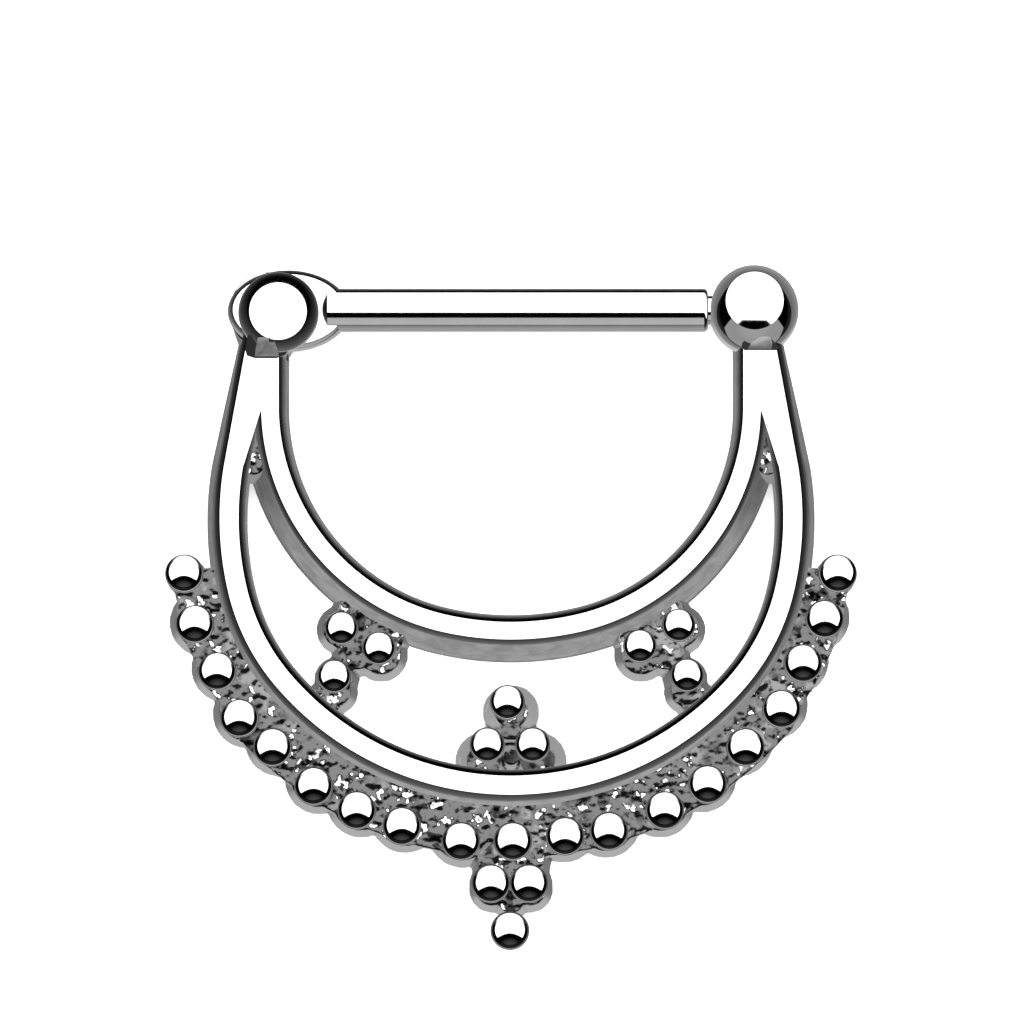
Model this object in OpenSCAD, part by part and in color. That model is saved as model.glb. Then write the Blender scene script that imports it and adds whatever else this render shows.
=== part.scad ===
// Septum ring with a hinged bar, lying on its flat back.
// The ring's plane is XY and its decorated front faces +Z. The bar lies along X, on the +Y side,
// and the beaded fan is on the -Y side. The origin is under the middle of the ring, on its flat back.

/* [Bar] */
// Diameter of the bar that passes through the nose
bar_d = 1.2; // [1.0:0.05:1.3]
// Height of the bar's axis above the flat back
bar_z = 1.2; // [1.15:0.05:1.3]
// Distance of the bar's axis from the middle of the ring
bar_y = 8.25; // [8.15:0.05:8.4]
// Diameter of the reduced tip that enters the catch
tip_d = 0.8; // [0.6:0.05:0.9]
// Length of the reduced tip, round end included
tip_len = 0.68; // [0.6:0.02:0.8]
// Chamfer round the bar's shoulder
shoulder_chamfer = 0.14; // [0.05:0.01:0.2]

/* [Hinge] */
// Distance of the hinge from the ring's axis
hinge_x = 6.5; // [6.4:0.05:6.6]
// Diameter of the dome over the hinge
dome_d = 2.22; // [2.1:0.02:2.3]
// Height of the dome's centre above the flat back
dome_z = 1.4; // [1.3:0.05:1.5]
// Diameter of the round lug behind the hinge
lug_d = 2.2; // [2.1:0.05:2.3]
// How far the lug stands outwards of the hinge
lug_shift = 0.25; // [0:0.05:0.35]
// Diameter of the bar's flat eye
eye_d = 2.2; // [1.8:0.02:2.2]
// How far the eye's middle lies outwards of the hinge
eye_shift = 0.24; // [0:0.02:0.26]
// Thickness of the bar's flat eye
eye_t = 0.8; // [0.6:0.05:0.9]
// Width of the curved neck between the eye and the round bar
neck_w = 2.22; // [2.0:0.02:2.24]
// Distance from the hinge to the end of the curved neck
neck_len = 2.0; // [1.8:0.05:2.2]
// Diameter of the hinge pin
pin_d = 0.6; // [0.5:0.05:0.7]
// Running clearance of the eye, on the radius and on each flat face
run_gap = 0.04; // [0.03:0.01:0.06]

/* [Catch] */
// Distance of the catch ball from the ring's axis
catch_x = 6.75; // [6.65:0.05:6.85]
// Diameter of the catch ball
catch_d = 2.48; // [2.4:0.02:2.6]
// Clearance between the tip and the groove in the catch ball
catch_gap = 0.06; // [0.04:0.01:0.1]

/* [Rails] */
// Height of the rails above the flat back
rail_h = 1.85; // [1.7:0.05:2.0]
// Width of the outer rail's polished front face
outer_face_w = 0.52; // [0.45:0.01:0.6]
// Radius of the outer rail's bottom arc, on the middle of its face
outer_bottom_r = 8.3; // [8.2:0.02:8.4]
// Radius of the outer rail's side arcs
outer_side_r = 5.92; // [5.8:0.02:6.0]
// Radius of the outer rail's upper arcs
outer_upper_r = 8.74; // [8.6:0.02:8.9]
// Width of the inner rail's polished front face
inner_face_w = 0.48; // [0.4:0.01:0.54]
// Radius of the inner rail's bottom arc, on the middle of its face
inner_bottom_r = 8.4; // [8.2:0.1:8.6]
// Radius of the inner rail's side arcs
inner_side_r = 6.2; // [6.1:0.02:6.3]

/* [Beads] */
// Diameter of the beads on the fan's edge
row_bead_d = 1.02; // [0.9:0.02:1.06]
// Diameter of the beads in the two side clusters
side_bead_d = 0.88; // [0.8:0.02:0.92]
// Diameter of the beads in the middle cluster
trio_bead_d = 0.92; // [0.84:0.02:1.0]
// Height of the bead centres above the flat back
bead_z = 1.12; // [1.0:0.02:1.2]
// Thickness of the cast backing that carries the beads
backing_t = 0.9; // [0.8:0.05:1.0]
// How far a scallop of the backing reaches past its bead
lobe_margin = 0.2; // [0.15:0.01:0.3]

/* [Hidden] */
$fn = 64;
OVER = 1;

// Middle of each rail's face at its lowest point
OUTER_BOTTOM_Y = -4.96;
INNER_BOTTOM_Y = -0.68;
// Half of each rail, from its lowest point up to the straight end: radius, angle turned
OUTER_ARCS = [[outer_bottom_r, 49.7], [outer_side_r, 26.9], [outer_upper_r, 23.8]];
INNER_ARCS = [[inner_bottom_r, 12.7], [inner_side_r, 77.3]];
// How far each rail's sloping walls spread towards the back
OUTER_IN_SPREAD = 0.21;
OUTER_OUT_SPREAD = 0.4;
INNER_IN_SPREAD = 0.26;
INNER_OUT_SPREAD = 0.6;
// Each stretch of a rail starts this far inside the one before, and is a hair slimmer than it
JOINT_TURN = 1;
JOINT_LEN = 0.1;
JOINT_STEP = 0.01;
// Where the rails end, inside the hinge lug and the catch ball
STEM_TOP_Y = 7.8;
// Where the faces of the two rails run together, and the lower web between them: x, y
CROTCH_FACE = [[7.42, 3.9], [7.0, 5.25], [6.88, 5.6], [6.88, 7.5], [7.1, 7.5], [7.5, 4.5]];
CROTCH_WEB = [[6.9, 3.4], [7.4, 3.4], [7.3, 5.6], [6.8, 5.6]];
CROTCH_WEB_H = 1.0;

// Foot of the catch ball on the flat back, and where it meets the ball
FOOT_R1 = 1.0;
FOOT_R2 = 1.16;
FOOT_H = 0.8;
// Ends of the hinge pin, and its gap in the lug and the dome
PIN_END_Z = 2.0;
PIN_GAP = 0.01;
PIN_RECESS = 0.02;
// Gap round the eye in its slot, where it turns
SLOT_GAP = 0.06;
// Arc that shapes the neck's upper and lower edge
NECK_ARC_R = 3.0;
NECK_ARC_X = 0.4;
// Taper between the flat neck and the round bar
TAPER_X1 = 1.2;
TAPER_X2 = 1.42;
// The bar reaches its full radius just past the neck, over a very slight cone
TAPER_X3 = 2.02;
TAPER_STEP = 0.01;
// Gap between the bar's shoulder and the catch ball
SHOULDER_GAP = 0.04;

HINGE = [-hinge_x, bar_y];
CATCH = [catch_x, bar_y];
CATCH_R = catch_d / 2;
EYE_Z = bar_z - eye_t / 2;
SHOULDER_X = catch_x - CATCH_R - SHOULDER_GAP;

// Beads on the fan's edge, left to right: x, y
ROW = [
    [-9.08, 0.94], [-8.78, -0.47], [-8.16, -1.78], [-7.54, -3.08], [-6.62, -3.89],
    [-5.48, -4.97], [-4.28, -5.64], [-3.03, -6.08], [-1.39, -6.5], [0.05, -6.5],
    [1.5, -6.36], [2.72, -6.22], [4.27, -5.64], [5.46, -4.92], [6.51, -3.89],
    [7.51, -2.83], [8.11, -1.56], [8.71, -0.33], [9.08, 0.94]
];
// Pair of beads below the row, and the last bead under them: x, y
PAIR = [[-0.56, -7.67], [0.5, -7.67]];
DROP = [-0.03, -8.98];
// Side cluster on the left, then on the right: x, y
SIDE_LEFT = [[-4.71, -0.58], [-3.67, -1.14], [-4.91, -1.92]];
SIDE_RIGHT = [[4.66, -0.5], [3.58, -1.08], [4.89, -1.89]];
// Middle cluster on the outer rail: x, y
TRIO = [[-0.1, -2.64], [-0.66, -3.82], [0.6, -3.82]];

// Scallops are flat arcs, with their centres this far in from their beads, towards LOBE_AIM
LOBE_SHIFT = 0.24;
LOBE_AIM = [0, 2.6];
// Cast strip outside the outer rail, one row for each of its arcs: reach past the rail's middle,
// and how far the third arc's strip goes up beside the rail and under the end bead
STRIP_REACH = [2.0, 1.8, 1.74];
STRIP_ROOT_REACH = 1.0;
// Each arc's strip starts this much deeper inside the rail than the one before
STRIP_ROOT_STEP = 0.05;
STRIP_ROOT_END = -5.9;
STRIP_END = -8.2;
// Discs of the other backings, on the right side and mirrored to the left: x, y, radius
END_DISCS = [[9.03, 0.86, 0.55]];
SIDE_DISCS = [
    [4.72, -0.6, 0.69], [3.62, -1.3, 0.74], [4.85, -1.98, 0.62], [4.3, -1.2, 0.7],
    [4.45, -0.1, 0.55], [3.9, -0.55, 0.6], [3.3, -0.85, 0.5], [4.85, -2.35, 0.58],
    [5.15, -2.6, 0.6]
];
TRIO_DISCS = [[0.03, -2.9, 0.76], [0.63, -3.85, 0.54], [0.75, -4.25, 0.8], [0.1, -3.5, 0.5]];
PENDANT_DISCS = [[0.53, -7.83, 0.63], [0.53, -7.67, 0.62], [0.1, -7.1, 1.0], [0.05, -8.2, 0.45]];
// Gap between the last bead's edge and its post
POST_INSET = 0.03;

// Angle turned before a given arc of a rail, and that arc's centre
function turned(arcs, k) = k == 0 ? 0 : turned(arcs, k - 1) + arcs[k - 1][1];
function normal(angle) = [sin(angle), -cos(angle)];
function centre(arcs, y, k) = k == 0
    ? [0, y + arcs[0][0]]
    : centre(arcs, y, k - 1) + (arcs[k - 1][0] - arcs[k][0]) * normal(turned(arcs, k));

// Section of a rail's stretch: radial place across, height up, sloping walls wider at the back
module rail_section(stretch, r, face_w, in_spread, out_spread) {
    slim = stretch * JOINT_STEP;
    polygon([
        [r - face_w / 2 - in_spread + slim, 0],
        [r + face_w / 2 + out_spread - slim, 0],
        [r + face_w / 2 - slim, rail_h - slim],
        [r - face_w / 2 + slim, rail_h - slim]
    ]);
}

// Arcs and straight ends of a rail, each tangent to the next, the same on both sides
module rail(arcs, bottom_y, face_w, in_spread, out_spread) {
    last = len(arcs) - 1;
    lean = turned(arcs, last + 1) - 90;
    end = centre(arcs, bottom_y, last) + arcs[last][0] * [cos(lean), sin(lean)];
    stem_len = (STEM_TOP_Y - end[1]) / cos(lean);
    for (k = [0 : last]) {
        c = centre(arcs, bottom_y, k);
        both = k == 0;
        for (side = both ? [0] : [0, 1])
            mirror([side, 0, 0])
                translate([c[0], c[1], 0])
                    rotate([0, 0, both ? -90 - arcs[0][1] : turned(arcs, k) - 90 - JOINT_TURN])
                        rotate_extrude(angle = both ? 2 * arcs[0][1] : arcs[k][1] + JOINT_TURN)
                            rail_section(k, arcs[k][0], face_w, in_spread, out_spread);
    }
    for (side = [0, 1])
        mirror([side, 0, 0])
            translate([end[0], end[1], 0])
                rotate([0, 0, lean])
                    translate([0, stem_len, 0])
                        rotate([90, 0, 0])
                            linear_extrude(stem_len + JOINT_LEN)
                                rail_section(last + 1, 0, face_w, in_spread, out_spread);
}

module outer_rail() {
    rail(OUTER_ARCS, OUTER_BOTTOM_Y, outer_face_w, OUTER_IN_SPREAD, OUTER_OUT_SPREAD);
}

module inner_rail() {
    rail(INNER_ARCS, INNER_BOTTOM_Y, inner_face_w, INNER_IN_SPREAD, INNER_OUT_SPREAD);
}

// Fill between the two rails where they run together below the hinge and the catch
module crotches() {
    for (side = [0, 1])
        mirror([side, 0, 0]) {
            linear_extrude(rail_h)
                polygon(CROTCH_FACE);
            linear_extrude(CROTCH_WEB_H)
                polygon(CROTCH_WEB);
        }
}

// Discs in the backing's plan on both sides, from rows of x, y, radius
module disc_pairs(rows) {
    for (side = [0, 1])
        mirror([side, 0])
            for (d = rows)
                translate([d[0], d[1]])
                    circle(d[2]);
}

// Flat scallop behind a bead of the row
module lobe(place) {
    inward = (LOBE_AIM - place) / norm(LOBE_AIM - place);
    translate(place + LOBE_SHIFT * inward)
        circle(row_bead_d / 2 + lobe_margin + LOBE_SHIFT);
}

// Part of a ring in the backing's plan, between two radii and two angles
module ring_sector(centre, r_in, r_out, a1, a2) {
    far = 2 * r_out;
    mid = (a1 + a2) / 2;
    translate(centre)
        intersection() {
            difference() {
                circle(r_out);
                circle(r_in);
            }
            polygon([
                [0, 0],
                far * [cos(a1), sin(a1)],
                far * [cos(mid), sin(mid)],
                far * [cos(a2), sin(a2)]
            ]);
        }
}

// Cast strip from the outer rail to just past the middle of the bead row
module strip_plan() {
    for (side = [0, 1])
        mirror([side, 0])
            for (k = [0 : len(OUTER_ARCS) - 1]) {
                c = centre(OUTER_ARCS, OUTER_BOTTOM_Y, k);
                r = OUTER_ARCS[k][0];
                r_in = r - k * STRIP_ROOT_STEP;
                a1 = k == 0 ? -90 - OUTER_ARCS[0][1] : turned(OUTER_ARCS, k) - 90 - JOINT_TURN;
                a2 = k == 2 ? STRIP_END : turned(OUTER_ARCS, k + 1) - 90;
                ring_sector(c, r_in, r + STRIP_REACH[k], a1, a2);
                if (k == 2)
                    ring_sector(c, r_in, r + STRIP_ROOT_REACH, a1, STRIP_ROOT_END);
            }
}

module backing() {
    linear_extrude(backing_t) {
        strip_plan();
        for (k = [1 : len(ROW) - 2])
            lobe(ROW[k]);
        disc_pairs(END_DISCS);
        disc_pairs(SIDE_DISCS);
        disc_pairs(TRIO_DISCS);
        disc_pairs(PENDANT_DISCS);
    }
    translate([DROP[0], DROP[1], 0])
        cylinder(h = bead_z, d = row_bead_d - 2 * POST_INSET);
}

module beads(places, bead_d) {
    for (p = places)
        translate([p[0], p[1], bead_z])
            sphere(d = bead_d);
}

// Dome in front of the bar's eye and round lug behind it
module hinge_lugs() {
    translate([HINGE[0], HINGE[1], dome_z])
        sphere(d = dome_d);
    translate([HINGE[0] - lug_shift, HINGE[1], 0])
        cylinder(h = EYE_Z, d = lug_d);
}

// Room for the bar's eye between the dome and the lug, and the hole for the pin
module hinge_slot() {
    translate([HINGE[0], HINGE[1], EYE_Z - run_gap])
        cylinder(h = eye_t + 2 * run_gap, r = eye_d / 2 + eye_shift + SLOT_GAP);
    translate([HINGE[0], HINGE[1], -OVER])
        cylinder(h = OVER + PIN_END_Z + PIN_RECESS, d = pin_d + 2 * PIN_GAP);
}

// Ball on a flaring foot, cut flat where it would reach below the back
module catch_ball() {
    translate([CATCH[0], CATCH[1], 0]) {
        difference() {
            translate([0, 0, bar_z])
                sphere(r = CATCH_R);
            translate([-CATCH_R, -CATCH_R, -CATCH_R])
                cube([2 * CATCH_R, 2 * CATCH_R, CATCH_R]);
        }
        cylinder(h = FOOT_H, r1 = FOOT_R1, r2 = FOOT_R2);
    }
}

// Groove that the bar's tip swings into, open towards the bar and outwards
module catch_groove() {
    r = tip_d / 2 + catch_gap;
    length = OVER + tip_len + catch_gap;
    translate([SHOULDER_X - OVER, bar_y, bar_z])
        rotate([0, 90, 0])
            cylinder(h = length, r = r);
    translate([SHOULDER_X - OVER, bar_y, bar_z - r])
        cube([length, CATCH_R + OVER, 2 * r]);
}

// The whole casting: rails, backings, beads, hinge lugs and catch
module frame() {
    color("silver")
        difference() {
            union() {
                outer_rail();
                inner_rail();
                crotches();
                backing();
                beads(ROW, row_bead_d);
                beads(PAIR, row_bead_d);
                beads([DROP], row_bead_d);
                beads(SIDE_LEFT, side_bead_d);
                beads(SIDE_RIGHT, side_bead_d);
                beads(TRIO, trio_bead_d);
                hinge_lugs();
                catch_ball();
            }
            hinge_slot();
            catch_groove();
        }
}

// Plan of the eye and of the neck that narrows to the bar
module eye_plan() {
    translate([-eye_shift, 0])
        circle(d = eye_d);
    intersection() {
        translate([NECK_ARC_X, neck_w / 2 - NECK_ARC_R])
            circle(NECK_ARC_R);
        translate([NECK_ARC_X, NECK_ARC_R - neck_w / 2])
            circle(NECK_ARC_R);
        translate([-eye_shift, -neck_w])
            square([neck_len + eye_shift, 2 * neck_w]);
    }
}

// Round bar from its taper to its tip, about the Z axis
module bar_turning() {
    shoulder = SHOULDER_X + hinge_x;
    tip_end = shoulder + tip_len;
    bar_r = bar_d / 2;
    tip_r = tip_d / 2;
    rotate_extrude()
        polygon([
            [0, TAPER_X1],
            [eye_t / 2, TAPER_X1],
            [bar_r - TAPER_STEP, TAPER_X2],
            [bar_r, TAPER_X3],
            [bar_r, shoulder - shoulder_chamfer],
            [bar_r - shoulder_chamfer, shoulder],
            [tip_r, shoulder],
            [tip_r, tip_end - tip_r / 2],
            [tip_r / 2, tip_end],
            [0, tip_end]
        ]);
}

// Flat eye on the hinge pin, curved neck, round bar and reduced tip
module bar() {
    color("gainsboro")
        translate([HINGE[0], HINGE[1], 0])
            difference() {
                union() {
                    translate([0, 0, EYE_Z])
                        linear_extrude(eye_t)
                            eye_plan();
                    translate([0, 0, bar_z])
                        rotate([0, 90, 0])
                            bar_turning();
                }
                cylinder(h = bar_z + eye_t, d = pin_d + 2 * run_gap);
            }
}

// Plain pin through the lug, the eye and into the dome
module hinge_pin() {
    color("darkgray")
        translate([HINGE[0], HINGE[1], PIN_RECESS])
            cylinder(h = PIN_END_Z - PIN_RECESS, d = pin_d);
}

frame();
bar();
hinge_pin();
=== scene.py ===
import math

import bmesh
import bpy
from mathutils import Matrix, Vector


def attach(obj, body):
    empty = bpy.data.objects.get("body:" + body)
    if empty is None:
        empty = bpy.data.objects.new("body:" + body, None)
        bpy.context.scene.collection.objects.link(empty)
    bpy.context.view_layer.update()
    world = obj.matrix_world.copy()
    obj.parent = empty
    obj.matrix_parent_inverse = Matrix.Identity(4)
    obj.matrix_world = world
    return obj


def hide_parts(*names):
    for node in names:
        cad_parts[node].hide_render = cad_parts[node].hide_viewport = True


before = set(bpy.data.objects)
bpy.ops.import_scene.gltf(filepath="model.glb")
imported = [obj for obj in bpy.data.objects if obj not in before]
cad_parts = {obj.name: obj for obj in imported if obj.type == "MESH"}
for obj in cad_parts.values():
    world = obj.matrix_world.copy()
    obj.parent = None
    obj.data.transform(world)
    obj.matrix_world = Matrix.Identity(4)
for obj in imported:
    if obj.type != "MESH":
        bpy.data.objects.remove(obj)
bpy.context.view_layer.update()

# Septum ring with a beaded fan. It lies on its flat back, with the bar closed

MM = 0.001

# How near a place has to be to count as the one looked for, in millimetres
NEAR = 0.01
TIGHT = 0.001

# Bar and hinge, in millimetres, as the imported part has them
BAR_Y = 8.25
BAR_Z = 1.2
BAR_R = 0.6
HINGE_X = -6.5
CATCH_X = 6.75
SLOT_LOW = 0.76
SLOT_HIGH = 1.64
SLOT_R = 1.4
SHOULDER_X = 5.47
TIP_R = 0.4
TIP_LEN = 0.68
PIN_R = 0.3
PIN_LOW = 0.02
PIN_HIGH = 2.0

# Rails: the outer face's height, and for each rail its lowest point, its arcs (radius, angle
# turned), its face's width, how far its walls spread at the back, how far its face drops, how
# much slimmer its stem's outer wall grows, and how wide its chamfers are
RAIL_H = 1.85
STEM_TOP_Y = 7.8
OUTER = {"bottom": -4.96, "arcs": [(8.3, 49.7), (5.92, 26.9), (8.74, 23.8)],
         "face": 0.52, "inward": 0.21, "outward": 0.4, "drop": 0.0, "slim": 0.14,
         "chamfer": {"inward": 0.09, "outward": 0.13}}
INNER = {"bottom": -0.68, "arcs": [(8.4, 12.7), (6.2, 77.3)],
         "face": 0.48, "inward": 0.26, "outward": 0.6, "drop": 0.003, "slim": 0.0,
         "chamfer": {"inward": 0.085, "outward": 0.1}}

# Beads: radius of each kind, height of their centres, and their places
ROW_R = 0.51
SIDE_R = 0.44
TRIO_R = 0.46
BEAD_Z = 1.12
PLATE_Z = 0.8
ROW = [
    (-9.08, 0.94), (-8.78, -0.47), (-8.16, -1.78), (-7.54, -3.08), (-6.62, -3.89),
    (-5.48, -4.97), (-4.28, -5.64), (-3.03, -6.08), (-1.39, -6.5), (0.05, -6.5),
    (1.5, -6.36), (2.72, -6.22), (4.27, -5.64), (5.46, -4.92), (6.51, -3.89),
    (7.51, -2.83), (8.11, -1.56), (8.71, -0.33), (9.08, 0.94),
]
PENDANT = [(-0.56, -7.67), (0.5, -7.67), (-0.03, -8.98)]
SIDE_LEFT = [(-4.71, -0.58), (-3.67, -1.14), (-4.91, -1.92)]
SIDE_RIGHT = [(4.66, -0.5), (3.58, -1.08), (4.89, -1.89)]
TRIO = [(-0.1, -2.64), (-0.66, -3.82), (0.6, -3.82)]
BEAD_GROUPS = [
    ("row_beads", ROW_R, ROW),
    ("pendant_beads", ROW_R, PENDANT),
    ("left_cluster_beads", SIDE_R, SIDE_LEFT),
    ("right_cluster_beads", SIDE_R, SIDE_RIGHT),
    ("middle_cluster_beads", TRIO_R, TRIO),
]

# Cast backings, as discs: x, y, radius. Those with a mirror image are given once
WEB_Z = 1.4
END_DISCS = [(9.03, 0.86, 0.55)]
SIDE_DISCS = [
    (4.72, -0.6, 0.69), (3.62, -1.3, 0.74), (4.85, -1.98, 0.62), (4.3, -1.2, 0.7),
    (4.45, -0.1, 0.55), (3.9, -0.55, 0.6), (3.3, -0.85, 0.5), (4.85, -2.35, 0.58),
    (5.15, -2.6, 0.6),
]
TRIO_DISCS = [
    (0.03, -2.9, 0.76), (0.63, -3.85, 0.54), (0.75, -4.25, 0.8), (0.1, -3.5, 0.5),
    (0.0, -4.15, 0.55),
]
WEB_DISCS = [(7.0, 5.15, 0.42), (7.08, 4.75, 0.45), (7.12, 4.35, 0.5), (7.15, 4.0, 0.52)]
PENDANT_DISCS = [
    (0.53, -7.83, 0.63), (0.53, -7.67, 0.62), (0.1, -7.1, 1.0), (0.05, -8.2, 0.45),
]


# Tools for working on one piece at a time

def mm(*place):
    return tuple(c * MM for c in place)


def choose(piece):
    """Selects one piece and nothing else."""
    bpy.ops.object.select_all(action="DESELECT")
    piece.select_set(True)
    bpy.context.view_layer.objects.active = piece


def new_piece(name):
    """Names the new primitive, applies its place and opens it for editing."""
    piece = bpy.context.object
    piece.name = name
    piece.data.name = name
    bpy.ops.object.transform_apply(location=True, rotation=True, scale=True)
    bpy.ops.object.mode_set(mode="EDIT")
    bpy.ops.mesh.select_all(action="SELECT")
    return piece


def add_plane(name, centre, turn=(0, 0, 0), size=1.0):
    bpy.ops.object.select_all(action="DESELECT")
    bpy.ops.mesh.primitive_plane_add(size=size * MM, location=mm(*centre), rotation=turn)
    return new_piece(name)


def add_cone(name, centre, low_r, high_r, depth, turn=(0, 0, 0), sides=64):
    bpy.ops.object.select_all(action="DESELECT")
    bpy.ops.mesh.primitive_cone_add(
        vertices=sides, radius1=low_r * MM, radius2=high_r * MM, depth=depth * MM,
        location=mm(*centre), rotation=turn)
    return new_piece(name)


def finish_edit():
    bpy.ops.object.mode_set(mode="OBJECT")


def pick(piece, kind, test):
    """Selects the vertices, edges or faces whose middle, in millimetres, passes the test."""
    bpy.ops.mesh.select_mode(type=kind)
    bpy.ops.mesh.select_all(action="DESELECT")
    mesh = bmesh.from_edit_mesh(piece.data)
    if kind == "VERT":
        found = [(v, v.co) for v in mesh.verts]
    elif kind == "EDGE":
        found = [(e, (e.verts[0].co + e.verts[1].co) / 2) for e in mesh.edges]
    else:
        found = [(f, f.calc_center_median()) for f in mesh.faces]
    for part, place in found:
        if test(place / MM):
            part.select_set(True)
    mesh.select_flush_mode()
    bmesh.update_edit_mesh(piece.data)


def move(x=0.0, y=0.0, z=0.0):
    bpy.ops.transform.translate(value=mm(x, y, z))


def scale_about(centre, x=1.0, y=1.0, z=1.0):
    bpy.ops.transform.resize(value=(x, y, z), center_override=mm(*centre))


def pull(x=0.0, y=0.0, z=0.0):
    bpy.ops.mesh.extrude_region_move(TRANSFORM_OT_translate={"value": mm(x, y, z)})


def turn_section(angle, centre, steps):
    """Spins the selected section anticlockwise, seen from the front, about an upright axis."""
    bpy.ops.mesh.spin(steps=steps, angle=-math.radians(angle),
                      center=mm(centre[0], centre[1], 0.0), axis=(0, 0, 1))


def close_up(piece):
    """Merges doubles and turns every face outwards."""
    choose(piece)
    bpy.ops.object.mode_set(mode="EDIT")
    bpy.ops.mesh.select_all(action="SELECT")
    bpy.ops.mesh.remove_doubles(threshold=1e-7)
    bpy.ops.mesh.normals_make_consistent(inside=False)
    bpy.ops.object.mode_set(mode="OBJECT")


def use_modifier(piece, kind, **settings):
    choose(piece)
    modifier = piece.modifiers.new(kind.title(), kind)
    for key, value in settings.items():
        setattr(modifier, key, value)
    bpy.ops.object.modifier_apply(modifier=modifier.name)


def mirrored(piece):
    use_modifier(piece, "MIRROR", merge_threshold=1e-6)
    close_up(piece)


# Edges that turn by more than so many degrees stay sharp
SHARP = 35
SHARP_CHAMFERS = 25
SHARP_CORNERS = 50
NONE_SHARP = 180


def smooth(piece, angle=SHARP):
    choose(piece)
    bpy.ops.object.shade_smooth_by_angle(angle=math.radians(angle))


def joined(name, parts):
    bpy.ops.object.select_all(action="DESELECT")
    for part in parts:
        part.select_set(True)
    bpy.context.view_layer.objects.active = parts[0]
    if len(parts) > 1:
        bpy.ops.object.join()
    parts[0].name = name
    parts[0].data.name = name
    return parts[0]


def copy_to(piece, x, y):
    """Copies a finished model, with its own mesh, and moves that mesh."""
    choose(piece)
    bpy.ops.object.duplicate()
    made = bpy.context.object
    made.location = mm(x, y, 0.0)
    bpy.ops.object.transform_apply(location=True, rotation=False, scale=False)
    return made


def remove(piece):
    bpy.data.objects.remove(piece, do_unlink=True)


def carve(piece, cutter):
    use_modifier(piece, "BOOLEAN", object=cutter, operation="DIFFERENCE", solver="EXACT")
    remove(cutter)


# Rails

def arc_centres(rail):
    """Centre of each arc of a rail's right half, with the angle turned before it."""
    centres = []
    place = Vector((0.0, rail["bottom"]))
    turned = 0.0
    for radius, angle in rail["arcs"]:
        inwards = Vector((-math.sin(math.radians(turned)), math.cos(math.radians(turned))))
        centre = place + radius * inwards
        centres.append((centre, turned))
        turned += angle
        outwards = Vector((math.sin(math.radians(turned)), -math.cos(math.radians(turned))))
        place = centre + radius * outwards
    return centres, place, turned


# Walls: a steep chamfer below the polished face, two softer breaks, then a straight side.
# Each break gives how far out and how far down it lies from the chamfer's foot
CHAMFER_SLOPE = math.tan(math.radians(54))
BREAKS = [(0.05, 0.11), (0.08, 0.24)]
SIDE_SHARES = (1 / 3, 2 / 3)
WALL_CUTS = 1 + len(BREAKS) + len(SIDE_SHARES)
FOOT_BEVEL = 0.04
# Sections: degrees of an arc to each, and at least so many
ARC_STEP = 1.2
ARC_STEPS_MIN = 8
# The stem's outer wall grows slimmer in steps, below the part that is chamfered
STEM_STEPS = 3
STEM_SLIM_BELOW = 0.3


def wall_rows(height, spread, chamfer):
    """Places down one wall, from the top: how far out and how high."""
    foot = height - chamfer * CHAMFER_SLOPE
    rows = [(chamfer, foot)] + [(chamfer + out, foot - drop) for out, drop in BREAKS]
    out, level = rows[-1]
    for share in SIDE_SHARES:
        rows.append((out + (spread - out) * share, level * (1 - share)))
    return rows


def build_rail(name, rail):
    bottom, height, face = rail["bottom"], RAIL_H - rail["drop"], rail["face"]
    piece = add_plane(name, (0, bottom, height / 2), turn=(0, math.pi / 2, 0), size=height)
    base_w = face + rail["inward"] + rail["outward"]
    pick(piece, "VERT", lambda p: p.z > height / 2)
    scale_about((0, bottom, height), y=face / height)
    pick(piece, "VERT", lambda p: p.z < height / 2)
    scale_about((0, bottom, 0), y=base_w / height)
    move(y=(rail["inward"] - rail["outward"]) / 2)
    pick(piece, "EDGE", lambda p: NEAR < p.z < height - NEAR)
    bpy.ops.mesh.subdivide(number_cuts=WALL_CUTS)
    for way, side in ((1, "inward"), (-1, "outward")):
        spread = rail[side]
        for k, (out, level) in enumerate(wall_rows(height, spread, rail["chamfer"][side])):
            share = (k + 1) / (WALL_CUTS + 1)
            old = height * (1 - share)
            pick(piece, "VERT", lambda p: abs(p.z - old) < NEAR and (p.y - bottom) * way > 0)
            move(y=way * (out - spread * share), z=level - old)
    pick(piece, "VERT", lambda p: p.z < NEAR)
    bpy.ops.mesh.bevel(offset=FOOT_BEVEL * MM, segments=2, affect="VERTICES")
    # Only the section's outline is spun round the arcs
    pick(piece, "FACE", lambda p: True)
    bpy.ops.mesh.dissolve_faces()
    bpy.ops.mesh.delete(type="ONLY_FACE")
    bpy.ops.mesh.select_all(action="SELECT")
    centres, place, turned = arc_centres(rail)
    for (centre, _), (_, angle) in zip(centres, rail["arcs"]):
        turn_section(angle, centre, max(ARC_STEPS_MIN, round(angle / ARC_STEP)))
    # Straight stem up to the hinge or the catch
    tilt = math.radians(turned - 90)
    step = (STEM_TOP_Y - place.y) / math.cos(tilt) / STEM_STEPS
    way = Vector((-math.sin(tilt), math.cos(tilt)))
    out = Vector((way.y, -way.x))
    slim = rail["slim"] / STEM_STEPS
    for k in range(1, STEM_STEPS + 1):
        pull(way.x * step, way.y * step)
        end = place + way * step * k

        def on_end(p):
            return abs((p.xy - end).dot(way)) < NEAR

        pick(piece, "VERT", lambda p: on_end(p) and p.z < height - STEM_SLIM_BELOW
             and (p.xy - end).dot(out) > face / 2)
        move(x=-out.x * slim, y=-out.y * slim)
        pick(piece, "VERT", on_end)
    bpy.ops.mesh.edge_face_add()
    finish_edit()
    mirrored(piece)
    return piece


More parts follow.
